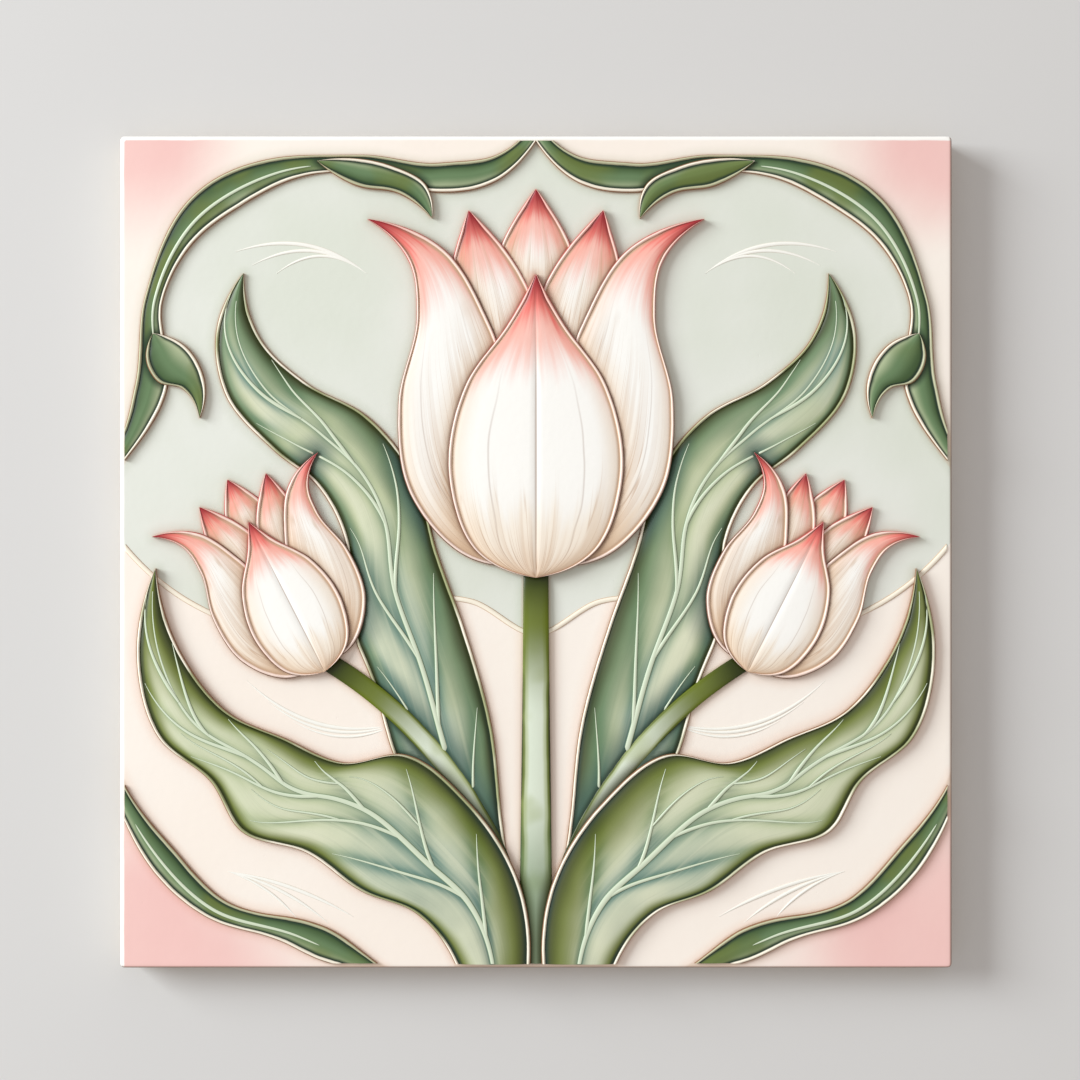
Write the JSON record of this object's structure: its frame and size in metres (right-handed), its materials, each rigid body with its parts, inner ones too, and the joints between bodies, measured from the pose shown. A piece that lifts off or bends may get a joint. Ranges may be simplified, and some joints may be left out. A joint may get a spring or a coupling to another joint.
{
  "type": "relief-moulded art nouveau wall tile",
  "caption": "Square glazed ceramic tile with a moulded, mirror-symmetric tulip panel and scrolled corner bands; bedded on its grooved back.",
  "frame": {"origin": "centre of the back face, on the plane the tile lies on", "axes": "+Z out of the glazed face, +Y towards the top of the picture, +X to the right of the picture"},
  "size_m": [0.1524, 0.1524, 0.0095],
  "materials": {
    "majolica_glaze": "satin-gloss pale sage and cream glaze with coloured relief"
  },
  "bodies": {
    "root": {"tile": "majolica_glaze"}
  },
  "joints": []
}
